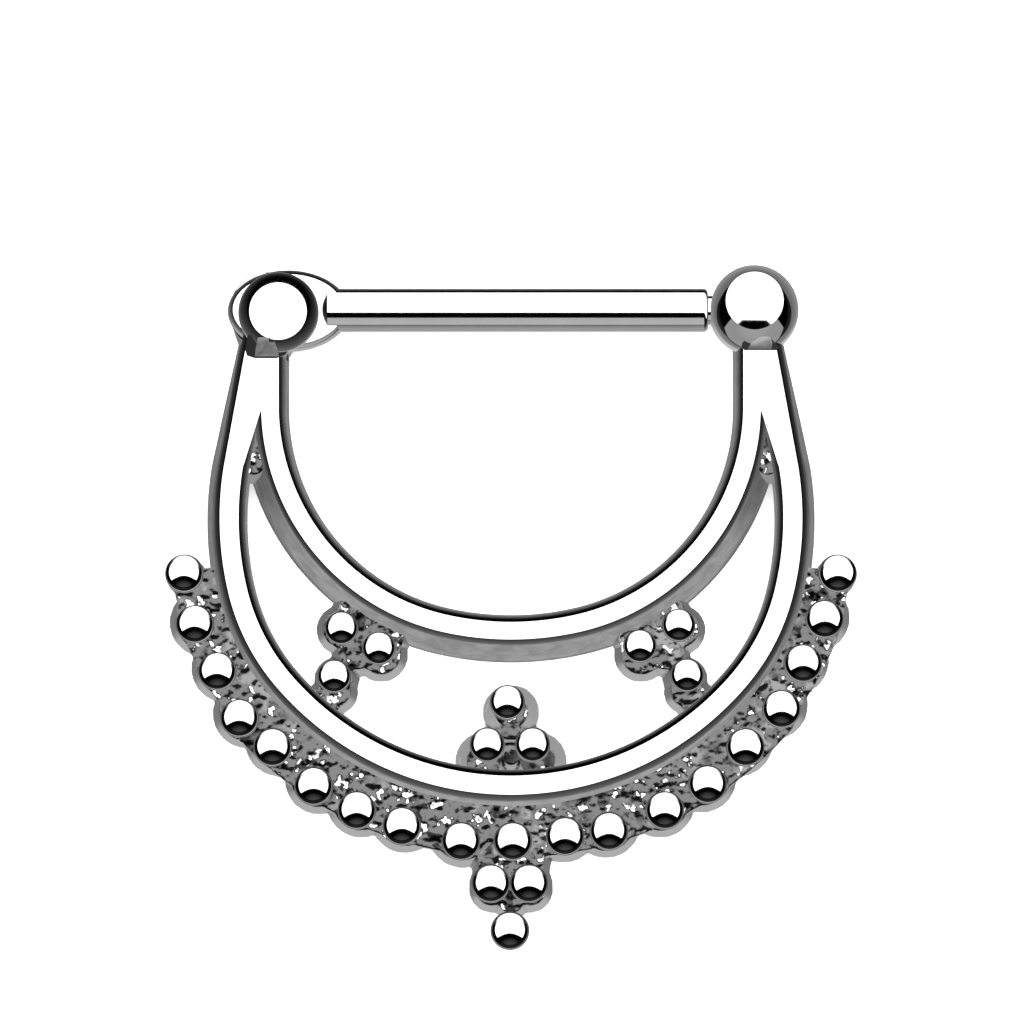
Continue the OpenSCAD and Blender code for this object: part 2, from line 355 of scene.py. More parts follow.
# Wedge that fills the sharp corner between the two rails, on both sides. It ends just below
# their faces
WEDGE = [(7.42, 3.9), (7.0, 5.25), (6.88, 5.6), (6.88, 7.5), (7.1, 7.5), (7.5, 4.5)]
WEDGE_DROP = 0.002


def build_outline(name, corners, height):
    """Flat plate from its corners: a plane is merged to a point, which is drawn round them."""
    piece = add_plane(name, (*corners[0], 0))
    bpy.ops.mesh.merge(type="CENTER")
    for (x0, y0), (x1, y1) in zip(corners, corners[1:]):
        pull(x1 - x0, y1 - y0)
    bpy.ops.mesh.select_all(action="SELECT")
    bpy.ops.mesh.edge_face_add()
    bpy.ops.mesh.select_all(action="SELECT")
    pull(z=height)
    bpy.ops.mesh.select_all(action="SELECT")
    bpy.ops.mesh.normals_make_consistent(inside=False)
    return piece


def build_wedges():
    wedge = build_outline("stem_fill", WEDGE, RAIL_H - WEDGE_DROP)
    finish_edit()
    mirrored(wedge)
    return wedge


# Round pieces, drawn from the top down. Each starts as the top of a thin disc

CAP_SHEET = 0.02


def turned_cap(name, x, y, top, outline, sides=96):
    """Round piece about an upright axis; outline: radius, height and, where the ring is off
    the axis, its shift along Y, from the top down."""
    rows = [(*row, 0.0)[:3] for row in outline]
    reach, level, shift = rows[0]
    cap = add_cone(name, (x, y + shift, top - CAP_SHEET / 2), reach, reach, CAP_SHEET,
                   sides=sides)
    pick(cap, "FACE", lambda p: p.z < top - TIGHT)
    bpy.ops.mesh.delete(type="FACE")
    pick(cap, "FACE", lambda p: True)
    bpy.ops.mesh.poke(offset=0.0)
    pick(cap, "VERT", lambda p: math.hypot(p.x - x, p.y - y - shift) > reach / 2)
    move(z=level - top)
    for radius, height, new_shift in rows[1:]:
        pull(z=height - level)
        scale_about((x, y + shift, 0), x=radius / reach, y=radius / reach)
        move(y=new_shift - shift)
        reach, level, shift = radius, height, new_shift
    bpy.ops.mesh.edge_face_add()
    finish_edit()
    close_up(cap)
    return cap


# Beads: a low dome, a short cone, a quick turn to the upright side, and a small flare at the
# plate. Radii are shares of the bead's own, and the foot's rows are how far out and how high,
# in millimetres
BEAD_CAP_R = 1.12
BEAD_CAP_ANGLES = (5, 10, 15, 20, 25, 30, 35, 40, 43, 46)
BEAD_CONE_END = 0.95
BEAD_CONE_ANGLE = math.radians(50.5)
BEAD_CONE_SHARES = (0.15, 0.5, 1.0)
BEAD_TURN_ANGLES = (56, 62, 68, 75, 82, 88)
BEAD_FOOT = [(0.0, 1.05), (0.002, 0.925), (0.018, 0.912), (0.03, 0.8), (0.03, 0.5)]
BEAD_SIDES = 56


def bead_outline(radius):
    top = BEAD_Z + radius
    cap_r = BEAD_CAP_R * radius
    rows = []
    for angle in BEAD_CAP_ANGLES:
        a = math.radians(angle)
        rows.append((cap_r * math.sin(a), top - cap_r * (1 - math.cos(a))))
    cap_reach, cap_level = rows[-1]
    reach = BEAD_CONE_END * radius
    for share in BEAD_CONE_SHARES:
        out = (reach - cap_reach) * share
        rows.append((cap_reach + out, cap_level - out * math.tan(BEAD_CONE_ANGLE)))
    level = rows[-1][1]
    turn_r = (radius - reach) / (1 - math.sin(BEAD_CONE_ANGLE))
    for angle in BEAD_TURN_ANGLES:
        a = math.radians(angle)
        rows.append((reach + turn_r * (math.sin(a) - math.sin(BEAD_CONE_ANGLE)),
                     level - turn_r * (math.cos(BEAD_CONE_ANGLE) - math.cos(a))))
    return rows + [(radius + out, height) for out, height in BEAD_FOOT], top


def build_beads(name, radius, places):
    outline, top = bead_outline(radius)
    pattern = turned_cap("bead", 0.0, 0.0, top, outline, sides=BEAD_SIDES)
    group = joined(name, [copy_to(pattern, x, y) for x, y in places])
    remove(pattern)
    smooth(group, SHARP_CORNERS)
    return group


# Cast backings: tapered discs and strips, melted into one rough plate

PLATE_TAPER = 0.19
TRIO_TAPER = 0.34
DISC_FOOT = 0.02
VOXEL = 0.043
# The strip under the row of beads reaches out from the outer rail's arcs, and starts a little
# inside them. Each stretch overlaps the last by some degrees, and the last ends below the stem
STRIP_REACH = [2.0, 1.8, 1.74]
STRIP_INSET = 0.05
STRIP_OVERLAP = 1
STRIP_STEP = 2
STRIP_END = -8.2
# Lobes round the row's beads, shifted inwards to a point between the rails
LOBE_SHIFT = 0.24
LOBE_R = 0.95
LOBE_AIM = Vector((0.0, 2.6))
# Lumps: their sizes, and where a point belongs to the front: its normal's Z and its depth
LUMP_SIZES = (0.5, 0.2)
LUMP_CONTRAST = 1.6
LUMP_SEED_STEP = 0.01
FRONT_NORMAL = 0.8
FRONT_DEPTH = 0.2
# The post under the lowest bead is a little thinner than the bead: at its foot and at its top
POST_INSETS = (0.06, 0.03)


def build_disc(x, y, radius, height=PLATE_Z, taper=PLATE_TAPER):
    disc = add_cone("disc", (x, y, height / 2), radius + DISC_FOOT, radius - taper, height)
    finish_edit()
    return disc


def build_sector(centre, r_in, r_out, start, end):
    """Stretch of strip between two radii and two angles, in degrees from +X."""
    a = math.radians(start)
    mid = (r_in + r_out) / 2
    size = r_out - r_in
    spot = (centre[0] + mid * math.cos(a), centre[1] + mid * math.sin(a), PLATE_Z / 2)
    strip = add_plane("strip", spot, turn=(math.pi / 2, 0, a), size=size)
    scale_about(spot, z=PLATE_Z / size)
    # The face is doubled, so that the first one stays behind as an end cap
    pull()
    turn_section(end - start, centre, round((end - start) / STRIP_STEP))
    finish_edit()
    close_up(strip)
    return strip


def with_mirror(rows):
    return rows + [(-x, y, r) for x, y, r in rows]


def cast_plate(name, parts, rough, seed, height=PLATE_Z):
    """Melts the parts together, with lumps of a roughness in millimetres on their front."""
    plate = joined(name, parts)
    close_up(plate)
    use_modifier(plate, "REMESH", mode="VOXEL", voxel_size=VOXEL * MM, use_smooth_shade=True)
    use_modifier(plate, "SMOOTH", factor=0.5, iterations=3)
    group = plate.vertex_groups.new(name="front")
    level = (height - FRONT_DEPTH) * MM
    front = [v.index for v in plate.data.vertices
             if v.normal.z > FRONT_NORMAL and v.co.z > level]
    group.add(front, 1.0, "REPLACE")
    for size in LUMP_SIZES:
        noise = bpy.data.textures.new(f"{name}_{size}", "CLOUDS")
        noise.noise_scale = size * MM
        noise.noise_depth = 2
        noise.intensity = 1.0 + LUMP_SEED_STEP * seed
        noise.contrast = LUMP_CONTRAST
        use_modifier(plate, "DISPLACE", texture=noise, strength=rough * MM, mid_level=0.5,
                     vertex_group="front")
    smooth(plate, NONE_SHARP)
    return plate


def build_fan():
    centres, _, _ = arc_centres(OUTER)
    radius, angle = OUTER["arcs"][0]
    parts = [build_sector(centres[0][0], radius, radius + STRIP_REACH[0],
                          -90 - angle, angle - 90)]
    for k, (centre, turned) in list(enumerate(centres))[1:]:
        radius, angle = OUTER["arcs"][k]
        start = turned - 90 - STRIP_OVERLAP
        end = STRIP_END if k == 2 else turned + angle - 90
        radii = (radius - STRIP_INSET, radius + STRIP_REACH[k])
        parts.append(build_sector(centre, *radii, start, end))
        parts.append(build_sector((-centre[0], centre[1]), *radii, 180 - end, 180 - start))
    for place in ROW[1:-1]:
        place = Vector(place)
        spot = place + LOBE_SHIFT * (LOBE_AIM - place).normalized()
        parts.append(build_disc(spot.x, spot.y, LOBE_R))
    parts += [build_disc(*d) for d in with_mirror(END_DISCS + PENDANT_DISCS)]
    return cast_plate("fan_plate", parts, rough=0.12, seed=1)


def build_plates():
    """The clusters' backings and the webs between the rails."""
    sides = [build_disc(*d) for d in with_mirror(SIDE_DISCS)]
    sides = cast_plate("side_plates", sides, rough=0.11, seed=2)
    middle = [build_disc(*d, taper=TRIO_TAPER) for d in with_mirror(TRIO_DISCS)]
    middle = cast_plate("middle_plate", middle, rough=0.06, seed=3)
    webs = [build_disc(*d, WEB_Z) for d in with_mirror(WEB_DISCS)]
    webs = cast_plate("crotch_webs", webs, rough=0.12, seed=4, height=WEB_Z)
    return sides, middle, webs


def build_drop_post():
    x, y = PENDANT[2]
    low_r, high_r = (ROW_R - inset for inset in POST_INSETS)
    post = add_cone("drop_post", (x, y, BEAD_Z / 2), low_r, high_r, BEAD_Z)
    finish_edit()
    smooth(post)
    return post


# Hinge: dome in front, round lug behind

# Outline of the dome from the top down: radius, height. It stands a little off the pin's axis
DOME_TOP = 2.51
DOME_SHIFT = (0.05, -0.1)
DOME_TURN = [(0.3, 2.506), (0.55, 2.496), (0.72, 2.486), (0.795, 2.481), (0.825, 2.443),
             (0.88, 2.365), (0.95, 2.26), (1.02, 2.145), (1.08, 2.035), (1.105, 1.975),
             (1.115, 1.9), (1.115, 1.66)]


def build_dome():
    x, y = HINGE_X + DOME_SHIFT[0], BAR_Y + DOME_SHIFT[1]
    dome = turned_cap("hinge_dome", x, y, DOME_TOP, DOME_TURN)
    smooth(dome)
    return dome


# Flare of the casting below the hinge, between the stem and the lug. Its rim slopes down
FLARE_TOP = SLOT_LOW - 0.004
FLARE_RIM = 0.22
FLARE_DROP = 0.6
FLARE = [(-7.84, 8.3), (-7.79, 8.0), (-7.71, 7.66), (-7.6, 7.35), (-7.5, 7.1), (-7.45, 6.6),
         (-6.3, 6.6), (-6.22, 6.95), (-6.05, 7.2), (-5.8, 7.4), (-5.6, 7.7), (-5.6, 8.3)]


def build_flare():
    flare = build_outline("hinge_flare", FLARE, FLARE_TOP)
    pick(flare, "FACE", lambda p: p.z > FLARE_TOP - NEAR)
    bpy.ops.mesh.inset(thickness=FLARE_RIM * MM)
    pick(flare, "VERT", lambda p: p.z > FLARE_TOP - NEAR
         and any(math.dist(p.xy, corner) < NEAR for corner in FLARE))
    move(z=-FLARE_DROP)
    finish_edit()
    close_up(flare)
    smooth(flare)
    return flare


LUG_R = 1.1
LUG_SHIFT = 0.25
LUG_BEVEL = 0.1


def build_lug():
    lug = add_cone("hinge_lug", (HINGE_X - LUG_SHIFT, BAR_Y, SLOT_LOW / 2), LUG_R, LUG_R,
                   SLOT_LOW, sides=96)
    pick(lug, "FACE", lambda p: abs(p.z - SLOT_LOW) < NEAR)
    bpy.ops.mesh.bevel(offset=LUG_BEVEL * MM, segments=5, affect="EDGES")
    finish_edit()
    close_up(lug)
    smooth(lug)
    return lug


# Cutter for the slot in the stems; its floor slopes down outwards: radius, height
SLOT_TURN = [(1.0, SLOT_HIGH), (SLOT_R, SLOT_HIGH), (SLOT_R, 0.2), (0.75, SLOT_LOW)]


def slot_cutter():
    return turned_cap("cutter", HINGE_X, BAR_Y, SLOT_HIGH, SLOT_TURN)


# Catch: ball on a narrower foot, with a groove for the bar's tip

# Outline of the catch ball and its foot from the top down: radius, height, shift along Y
BALL_TOP = 2.44
BALL_TURN = [(0.25, 2.4335, 0.12), (0.45, 2.417, 0.12), (0.62, 2.3892, 0.165),
             (0.73, 2.3698, 0.185), (0.8, 2.3575, 0.2), (0.84, 2.3085, 0.19),
             (0.92, 2.1985, 0.165), (1.02, 2.0505, 0.12), (1.12, 1.8775, 0.07),
             (1.19, 1.7255, 0.03), (1.23, 1.594, 0.01), (1.24, 1.45, 0.0), (1.24, 0.8, 0.0),
             (1.22, 0.5, 0.0), (1.15, 0.22, 0.0), (1.05, 0.0, 0.0)]
# The groove leaves a gap round the tip, starts before the bar's shoulder and is open outwards
TIP_GAP = 0.06
GROOVE_LEAD = 0.5
GATE_REACH = 1.6


def build_catch():
    ball = turned_cap("catch_ball", CATCH_X, BAR_Y, BALL_TOP, BALL_TURN)
    gap = TIP_R + TIP_GAP
    length = TIP_LEN + TIP_GAP + GROOVE_LEAD
    middle = SHOULDER_X - GROOVE_LEAD + length / 2
    groove = add_cone("groove", (middle, BAR_Y, BAR_Z), gap, gap, length,
                      turn=(0, math.pi / 2, 0))
    finish_edit()
    carve(ball, groove)
    # The tip swings in from the outside
    gate_y = BAR_Y + GATE_REACH / 2
    bpy.ops.object.select_all(action="DESELECT")
    bpy.ops.mesh.primitive_cube_add(size=MM, location=mm(middle, gate_y, BAR_Z))
    gate = new_piece("gate")
    scale_about((middle, gate_y, BAR_Z), x=length, y=GATE_REACH, z=2 * gap)
    finish_edit()
    carve(ball, gate)
    smooth(ball, SHARP_CHAMFERS)
    return ball


# Saddles: satin patches where the dome and the ball were joined to the stems.
# Corners: x, y and height of the top, the far side first
HINGE_SADDLE = [
    (-7.0, 7.42, 2.5), (-6.6, 7.42, 2.5), (-6.56, 7.34, 2.495), (-6.47, 7.13, 2.26),
    (-6.44, 6.93, 1.9), (-7.1, 6.93, 1.9), (-7.07, 7.13, 2.26), (-7.02, 7.34, 2.495),
]
CATCH_SADDLE = [
    (6.92, 7.46, 2.21), (7.18, 7.46, 2.21), (7.24, 7.3, 2.04), (7.22, 7.12, 1.88),
    (6.56, 7.12, 1.88), (6.66, 7.3, 2.04),
]
# Collars: polished wedges under the saddles, where each stem's face ends
HINGE_COLLAR = [
    (-7.3, 7.5, 2.2), (-6.1, 7.5, 2.2), (-6.16, 7.12, 1.988), (-6.26, 6.97, 1.905),
    (-6.5, 6.88, 1.855), (-7.1, 6.88, 1.855), (-7.32, 6.95, 1.894), (-7.37, 7.1, 1.977),
]
CATCH_COLLAR = [
    (6.62, 7.5, 2.103), (7.1, 7.5, 2.103), (7.34, 7.3, 1.979), (7.42, 7.18, 1.905),
    (7.36, 7.1, 1.855), (6.48, 7.1, 1.855), (6.39, 7.18, 1.905), (6.41, 7.3, 1.979),
]
# Both kinds stand on the slot's level, as thin plates whose corners are drawn up
SADDLE_SHEET = 0.1


def build_saddle(name, corners):
    saddle = build_outline(name, [(x, y) for x, y, _ in corners], SADDLE_SHEET)
    pick(saddle, "VERT", lambda p: True)
    move(z=SLOT_HIGH)
    for x, y, top in corners:
        pick(saddle, "VERT", lambda p: p.z > SLOT_HIGH + SADDLE_SHEET / 2
             and abs(p.x - x) < NEAR and abs(p.y - y) < NEAR)
        move(z=top - SLOT_HIGH - SADDLE_SHEET)
    finish_edit()
    close_up(saddle)
    smooth(saddle, SHARP_CORNERS)
    return saddle


# Bar: flat eye, round rod and reduced tip

# The eye is an ellipse, with a bevel round its top
EYE_X = -6.19
EYE_LOW = 0.8
EYE_EDGE = 1.435
EYE_TOP = 1.6
EYE_FOOT_R = 1.13
EYE_R = 1.1
EYE_STRETCH = 1.5
EYE_BEVEL = 0.12
HOLE_R = 0.34
HOLE_LENGTH = 1.6
# The rod starts narrow, where it rises out of the eye: how far back, how much narrower
ROD_START = -5.1
ROD_STEPS = [(0.12, 0.725), (0.08, 0.667)]
SHOULDER_BEVEL = 0.12
TIP_BEVEL = 0.15
PIN_BEVEL = 0.04


def build_bar():
    eye = add_cone("bar_with_eye", (EYE_X, BAR_Y, (EYE_LOW + EYE_EDGE) / 2), EYE_FOOT_R, EYE_R,
                   EYE_EDGE - EYE_LOW, sides=128)
    middle = (EYE_X, BAR_Y, BAR_Z)
    scale_about(middle, x=EYE_STRETCH)
    pick(eye, "FACE", lambda p: abs(p.z - EYE_EDGE) < NEAR)
    pull(z=EYE_TOP - EYE_EDGE)
    scale_about(middle, x=1 - EYE_BEVEL / (EYE_R * EYE_STRETCH), y=1 - EYE_BEVEL / EYE_R)
    finish_edit()
    length = SHOULDER_X - ROD_START
    rod = add_cone("rod", (ROD_START + length / 2, BAR_Y, BAR_Z), BAR_R, BAR_R, length,
                   turn=(0, math.pi / 2, 0), sides=96)
    pick(rod, "FACE", lambda p: abs(p.x - ROD_START) < NEAR)
    for back, narrower in ROD_STEPS:
        pull(x=-back)
        scale_about((ROD_START, BAR_Y, BAR_Z), y=narrower, z=narrower)
    # Bevelled shoulder, then the tip
    pick(rod, "FACE", lambda p: abs(p.x - SHOULDER_X) < NEAR)
    bpy.ops.mesh.bevel(offset=SHOULDER_BEVEL * MM, segments=6, affect="EDGES")
    pick(rod, "FACE", lambda p: abs(p.x - SHOULDER_X) < TIGHT)
    bpy.ops.mesh.inset(thickness=(BAR_R - SHOULDER_BEVEL - TIP_R) * MM)
    pull(x=TIP_LEN)
    bpy.ops.mesh.bevel(offset=TIP_BEVEL * MM, segments=5, affect="EDGES")
    finish_edit()
    piece = joined("bar_with_eye", [eye, rod])
    hole = add_cone("hole", (HINGE_X, BAR_Y, BAR_Z), HOLE_R, HOLE_R, HOLE_LENGTH)
    finish_edit()
    carve(piece, hole)
    close_up(piece)
    smooth(piece)
    return piece


def build_pin():
    pin = add_cone("pin", (HINGE_X, BAR_Y, (PIN_LOW + PIN_HIGH) / 2), PIN_R, PIN_R,
                   PIN_HIGH - PIN_LOW, sides=48)
    for end in (PIN_LOW, PIN_HIGH):
        pick(pin, "FACE", lambda p: abs(p.z - end) < TIGHT)
        bpy.ops.mesh.bevel(offset=PIN_BEVEL * MM, segments=3, affect="EDGES")
    finish_edit()
    close_up(pin)
    smooth(pin)
    return pin


# Shader nodes

def feed(tree, node, inputs):
    """Links each input that is given as a socket, and sets each that is given as a constant."""
    for socket, value in inputs.items():
        if isinstance(value, bpy.types.NodeSocket):
            tree.links.new(value, node.inputs[socket])
        else:
            node.inputs[socket].default_value = value


def add_node(tree, kind, inputs, **settings):
    node = tree.nodes.new("ShaderNode" + kind)
    for key, value in settings.items():
        setattr(node, key, value)
    feed(tree, node, inputs)
    return node.outputs


def add_noise(tree, coords, pattern, **inputs):
    scale, detail = pattern
    return add_node(tree, "TexNoise",
                    {"Vector": coords, "Scale": scale, "Detail": detail, **inputs})


def add_ramp(tree, factor, stops):
    """Colour ramp from its stops: place and grey level, or place and colour."""
    node = tree.nodes.new("ShaderNodeValToRGB")
    elements = node.color_ramp.elements
    while len(elements) < len(stops):
        elements.new(0.5)
    for element, (place, tone) in zip(elements, stops):
        element.position = place
        element.color = (*tone, 1) if isinstance(tone, tuple) else (tone, tone, tone, 1)
    tree.links.new(factor, node.inputs["Fac"])
    return node.outputs["Color"]


def add_range(tree, value, low, high, start=0.0, end=1.0, blend="LINEAR"):
    """Carries a value from one range over to another."""
    inputs = {"Value": value, "From Min": low, "From Max": high,
              "To Min": start, "To Max": end}
    return add_node(tree, "MapRange", inputs, interpolation_type=blend)["Result"]


def add_maths(tree, operation, *values):
    return add_node(tree, "Math", dict(enumerate(values)), operation=operation)["Value"]


def add_mix(tree, factor, first, second):
    inputs = {"Factor": factor, "A": first, "B": second}
    return add_node(tree, "Mix", inputs, data_type="RGBA")["Result"]


def add_bump(tree, height, strength, distance):
    inputs = {"Height": height, "Strength": strength, "Distance": distance}
    return add_node(tree, "Bump", inputs)["Normal"]


def facing_up(tree):
    """How far a surface faces up: the Z of its normal."""
    shape = add_node(tree, "NewGeometry", {})
    return add_node(tree, "SeparateXYZ", {"Vector": shape["Normal"]})["Z"]


# Finishes

# Noise patterns: scale, per metre, and detail
CLOUD = (900, 3)
WEAR = (6000, 4)
MOTTLE = (1700, 5)
LUMPS = (1500, 4)
STRETCHES = (330, 1)
STIR = (4200, 1)
GLINT_PATCH_NOISE = (1900, 2)
BOARD_GRAIN = (60, 2)

# Polish: colours, how its tone and its roughness vary, as shares, and its waves' depth
STEEL = (0.80, 0.80, 0.81)
BAR_STEEL = (0.82, 0.82, 0.83)
PIN_STEEL = (0.66, 0.66, 0.67)
SATIN_STEEL = (0.86, 0.86, 0.87)
DARKER = 0.93
GLOSS_SHARES = (0.7, 1.4)
WAVE_DEPTH = 0.01 * MM

# Steep walls, rougher from tumbling and darkened by painted shade: the normal's Z where they
# start and where they are in full, their shaded tones as shares, and how much rougher they are
WALL_NORMALS = (0.5, 0.3)
WALL_SHADE_SHARES = (0.75, 1.15)
WALL_ROUGHER = 0.1

# Cast steel: the normal's Z where the rough front starts and where it is in full, its
# roughness from flank to front, the depth of its lumps, and how far stretches shift its tone
FRONT_NORMALS = (0.35, 0.75)
CAST_ROUGHNESS = (0.26, 0.3)
CAST_DEPTH = 0.07 * MM
STRETCH_FROM = (0.38, 0.62)
STRETCH_SHIFT = (-0.18, 0.08)

# Painted glints, bright with a painted dark rim: how far their cells are stirred, their tone
# from the middle outwards, and how fast a patch of them begins
GLINT_SCALE = 2700
GLINT_STIR = 0.5 * MM
GLINT_TONES = [(0.0, 0.95), (0.27, 0.9), (0.32, 0.02), (0.36, 0.02), (0.46, 0.125)]
GLINT_BLUE = 1.01
GLINT_PATCH_BLUR = 0.04


def start_finish(name):
    """A new material, its node tree and its object coordinates."""
    material = bpy.data.materials.new(name)
    material.use_nodes = True
    tree = material.node_tree
    return material, tree, add_node(tree, "TexCoord", {})["Object"]


def set_surface(tree, inputs):
    feed(tree, tree.nodes["Principled BSDF"], inputs)


def make_steel(name, colour, roughness, waviness, shaded_wall_tone=None):
    """Polished steel with faint waves and wear in its gloss. Given a darker tone for its sheer
    sides,
    those were only tumbled: rougher, and darkened by painted shade in a mottled tone."""
    material, tree, coords = start_finish(name)
    cloud = add_noise(tree, coords, CLOUD)["Fac"]
    darker = tuple(c * DARKER for c in colour)
    tone = add_ramp(tree, cloud, [(0.3, darker), (0.7, colour)])
    wear = add_noise(tree, coords, WEAR)["Fac"]
    gloss = add_range(tree, wear, 0.0, 1.0, *[roughness * share for share in GLOSS_SHARES])
    if shaded_wall_tone is not None:
        # Sides that rise sharply get painted shade: their colour darkens, and they grow rougher
        steep = add_range(tree, facing_up(tree), *WALL_NORMALS)
        mottle = add_noise(tree, coords, MOTTLE, Distortion=0.6)["Fac"]
        low, high = (shaded_wall_tone * share for share in WALL_SHADE_SHARES)
        shaded_wall_colour = add_ramp(tree, mottle, [(0.35, low), (0.65, high)])
        tone = add_mix(tree, steep, tone, shaded_wall_colour)
        gloss = add_maths(tree, "MULTIPLY_ADD", steep, WALL_ROUGHER, gloss)
    set_surface(tree, {"Metallic": 1.0, "Base Color": tone, "Roughness": gloss,
                       "Normal": add_bump(tree, cloud, waviness, WAVE_DEPTH)})
    return material


def make_cast(name, flank=0.88, pit_painted_shade=0.02, painted_lump_light=0.2, glint_from=0.44):
    """Steel left as cast: pitted, with painted shade in its hollows, and painted glints with
    dark rims.
    """
    material, tree, coords = start_finish(name)
    lumps = add_noise(tree, coords, LUMPS, Roughness=0.55, Distortion=0.8)["Fac"]
    # Darker and paler stretches
    stretches = add_noise(tree, coords, STRETCHES)["Fac"]
    shift = add_range(tree, stretches, *STRETCH_FROM, *STRETCH_SHIFT)
    # Painted shade: the colour darkens in the hollows between the lumps and pales on their tops
    shaded = add_maths(tree, "ADD", shift, lumps)
    tone = add_ramp(tree, shaded, [(0.34, pit_painted_shade), (0.6, painted_lump_light)])
    # Painted glints of uneven shape, bright with a painted dark rim, in patches
    stir = add_noise(tree, coords, STIR)["Color"]
    stirred = add_node(tree, "VectorMath", {0: stir, 1: (GLINT_STIR,) * 3, 2: coords},
                       operation="MULTIPLY_ADD")["Vector"]
    cells = add_node(tree, "TexVoronoi", {"Vector": stirred, "Scale": GLINT_SCALE})["Distance"]
    glints = add_ramp(tree, cells, [(place, (level, level, level * GLINT_BLUE))
                                    for place, level in GLINT_TONES])
    spread = add_noise(tree, coords, GLINT_PATCH_NOISE)["Fac"]
    glint_patches = add_range(tree, spread, glint_from, glint_from + GLINT_PATCH_BLUR)
    with_glints = add_mix(tree, glint_patches, tone, glints)
    # Only the face that looks forward was left rough: the flanks are tumbled smooth
    front = add_range(tree, facing_up(tree), *FRONT_NORMALS)
    rise = add_maths(tree, "MULTIPLY", lumps, front)
    set_surface(tree, {
        "Metallic": 1.0,
        "Base Color": add_mix(tree, front, (flank, flank, flank, 1), with_glints),
        "Roughness": add_range(tree, front, 0.0, 1.0, *CAST_ROUGHNESS),
        "Normal": add_bump(tree, rise, 0.8, CAST_DEPTH),
    })
    return material


def make_floor_paint():
    material, tree, coords = start_finish("pale_board")
    grain = add_noise(tree, coords, BOARD_GRAIN)["Fac"]
    tone = add_ramp(tree, grain, [(0.0, 0.89), (1.0, 0.92)])
    set_surface(tree, {"Base Color": tone, "Roughness": 0.9})
    return material


# Camera: nearly straight above, from a distance. Its aim and the view's width at the ring are
# in millimetres, its tilt in degrees
CAMERA_AIM = (0.028, 2.64, 1.2)
CAMERA_TILT = 2.5
LENS = 400.0
SENSOR = 36.0
VIEW_WIDTH = 28.44


def set_camera():
    tilt = math.radians(CAMERA_TILT)
    far = VIEW_WIDTH * MM * LENS / SENSOR
    data = bpy.data.cameras.new("camera")
    data.lens = LENS
    data.sensor_width = SENSOR
    data.clip_start = 0.001
    data.clip_end = 50
    camera = bpy.data.objects.new("camera", data)
    bpy.context.scene.collection.objects.link(camera)
    back = Vector((0, -math.sin(tilt), math.cos(tilt)))
    camera.location = Vector(mm(*CAMERA_AIM)) + far * back
    camera.rotation_euler = (tilt, 0, 0)
    bpy.context.scene.camera = camera


# Studio: a white tent overhead, with a dark gap low down and a dark flag in front

TENT_LEAN = 12.0
TENT_GLOW = 2.2
# Tones from the tent's axis down: share of a half turn, grey level
TENT_TONES = [(0.0, 1.0), (0.515, 1.0), (0.53, 0.0), (0.6, 0.0), (0.66, 0.02), (0.74, 0.07),
              (0.86, 0.1), (0.97, 0.2)]
# Flag on the side of the pendant. All are parts of a direction of length 1: where its edge
# lies, how much the edge bows sideways, its blur, and where it turns a little paler further in
FLAG_EDGE = 0.24
FLAG_BOW = 0.30
FLAG_BLUR = 0.03
FLAG_PALER = (0.33, 0.85)
FLAG_GLOW = 0.036
# Pale board low in front, and the levels where the flag ends
BOARD_GLOW = 0.23
BOARD_LEVELS = (-0.62, -0.8)
BOARD_FRONT = (0.03, 0.3)
HORIZON = (-0.05, 0.05)
BELOW = (0.0, -0.1)


def set_studio():
    world = bpy.data.worlds.new("studio")
    bpy.context.scene.world = world
    world.use_nodes = True
    tree = world.node_tree
    glow = tree.nodes["Background"]
    glow.inputs["Strength"].default_value = TENT_GLOW
    coords = add_node(tree, "TexCoord", {})["Generated"]
    across = add_node(tree, "SeparateXYZ", {"Vector": coords})
    x, y, z = across["X"], across["Y"], across["Z"]

    def maths(operation, *values):
        return add_maths(tree, operation, *values)

    def ease(value, between, start, end):
        return add_range(tree, value, *between, start, end, blend="SMOOTHSTEP")

    lean = math.radians(TENT_LEAN)
    rise = maths("MULTIPLY_ADD", y, math.sin(lean), maths("MULTIPLY", z, math.cos(lean)))
    angle = maths("DIVIDE", maths("ARCCOSINE", rise), math.pi)
    tent = add_ramp(tree, angle, TENT_TONES)
    # Flag: depth is how far in a direction lies from its edge
    bow = maths("POWER", maths("ABSOLUTE", x), 2.0)
    front = maths("MULTIPLY", y, -1.0)
    depth = maths("SUBTRACT", front, maths("MULTIPLY_ADD", bow, FLAG_BOW, FLAG_EDGE))
    beside = maths("MULTIPLY", tent, ease(depth, (0.0, FLAG_BLUR), 1.0, 0.0))
    under = maths("MULTIPLY", tent, ease(z, BELOW, 0.0, 1.0))
    paler = maths("MULTIPLY", ease(z, HORIZON, 0.0, 1.0),
                  ease(depth, FLAG_PALER, 0.0, FLAG_GLOW))
    board = maths("MULTIPLY", ease(z, BOARD_LEVELS, 0.0, BOARD_GLOW),
                  ease(front, BOARD_FRONT, 0.0, 1.0))
    total = maths("MAXIMUM", maths("MAXIMUM", maths("MAXIMUM", beside, under), paler), board)
    tree.links.new(total, glow.inputs["Color"])


